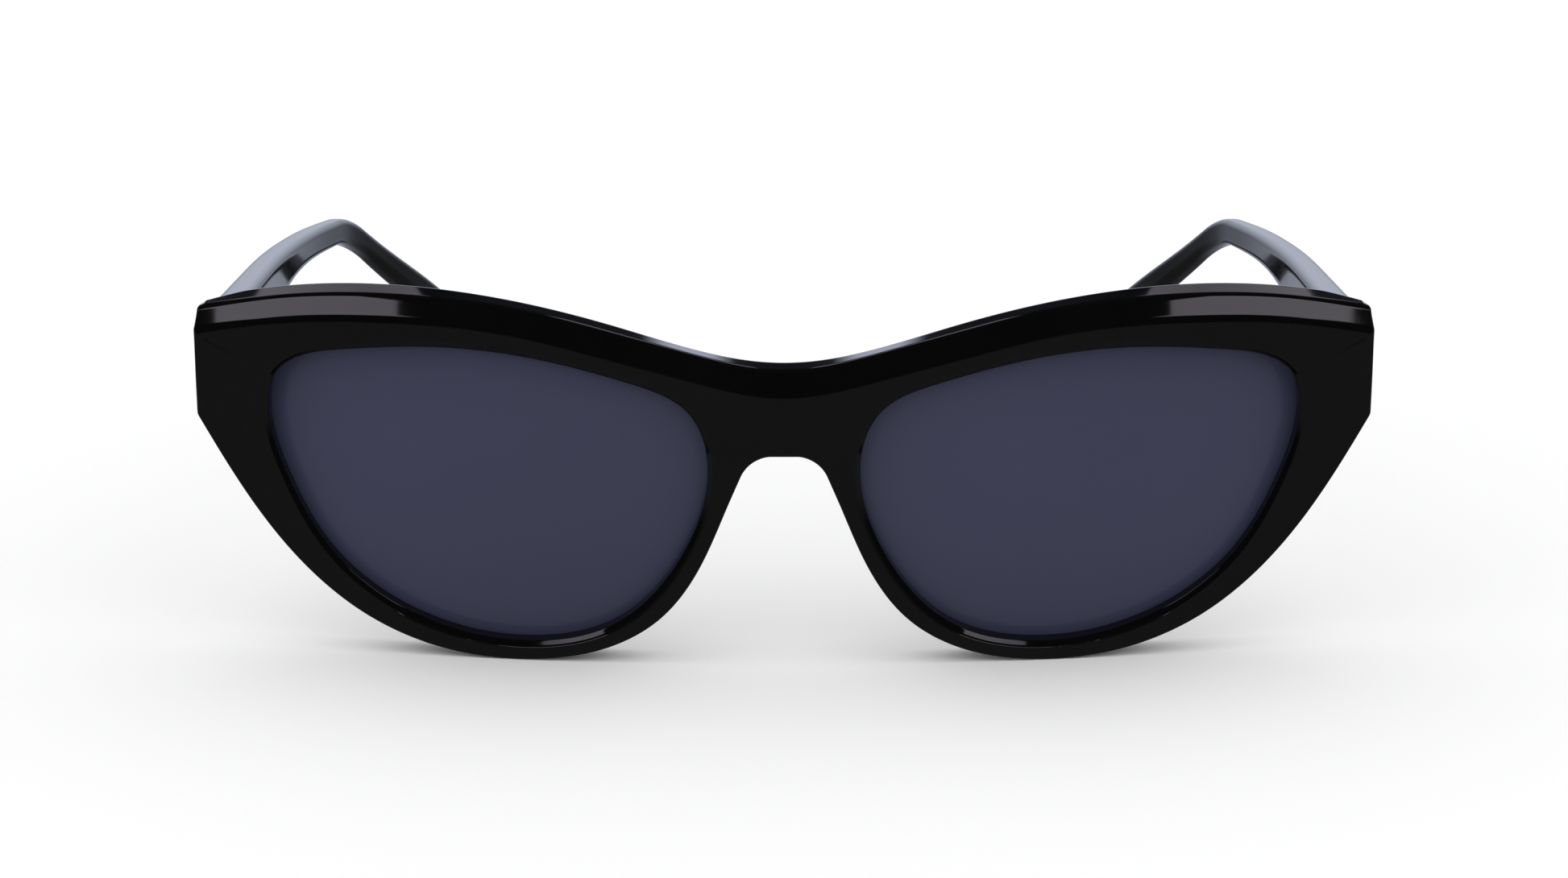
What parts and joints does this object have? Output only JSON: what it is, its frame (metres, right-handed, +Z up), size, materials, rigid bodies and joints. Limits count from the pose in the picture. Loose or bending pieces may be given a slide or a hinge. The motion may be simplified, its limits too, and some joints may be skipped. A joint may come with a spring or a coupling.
{
  "type": "cat eye sunglasses",
  "caption": "Sunglasses with a swept-up cat eye front in glossy black acetate, dark blue-grey lenses and slim tapering temples that fold on barrel hinges.",
  "frame": {"origin": "bottom centre of the bounding box, on the floor the open sunglasses stand on", "axes": "+Z up, -Y the way the lenses face, +X to the viewer's right when facing the lenses; the YZ plane is the mirror plane"},
  "size_m": [0.1466, 0.1398, 0.0463],
  "materials": {
    "acetate": "polished black cellulose acetate",
    "lens": "dark blue-grey tinted nylon, polished",
    "pad": "polished black acetate",
    "hinge": "nickel silver, bright rolled",
    "screw": "turned stainless steel",
    "wire": "drawn nickel silver wire"
  },
  "bodies": {
    "front": {"front_frame": "acetate", "lens_left": "lens", "nose_pad_left": "pad", "hinge_front_leaf_left": "hinge", "hinge_screw_left": "screw", "front_leaf_screws_left": "screw", "lens_right": "lens", "nose_pad_right": "pad", "hinge_front_leaf_right": "hinge", "hinge_screw_right": "screw", "front_leaf_screws_right": "screw"},
    "temple_arm_left": {"temple_left": "acetate", "temple_core_wire_left": "wire", "hinge_temple_leaf_left": "hinge", "temple_leaf_screws_left": "screw"},
    "temple_arm_right": {"temple_right": "acetate", "temple_core_wire_right": "wire", "hinge_temple_leaf_right": "hinge", "temple_leaf_screws_right": "screw"}
  },
  "joints": [
    {"name": "left_temple_fold", "type": "hinge", "parent": "front", "child": "temple_arm_left", "pos_m": [-0.0653, -0.05357, 0.03752], "axis": [0, 0.0234, -0.9997], "range_deg": [0, 82]},
    {"name": "right_temple_fold", "type": "hinge", "parent": "front", "child": "temple_arm_right", "pos_m": [0.0653, -0.05357, 0.03752], "axis": [0, -0.0234, 0.9997], "range_deg": [0, 76]}
  ]
}
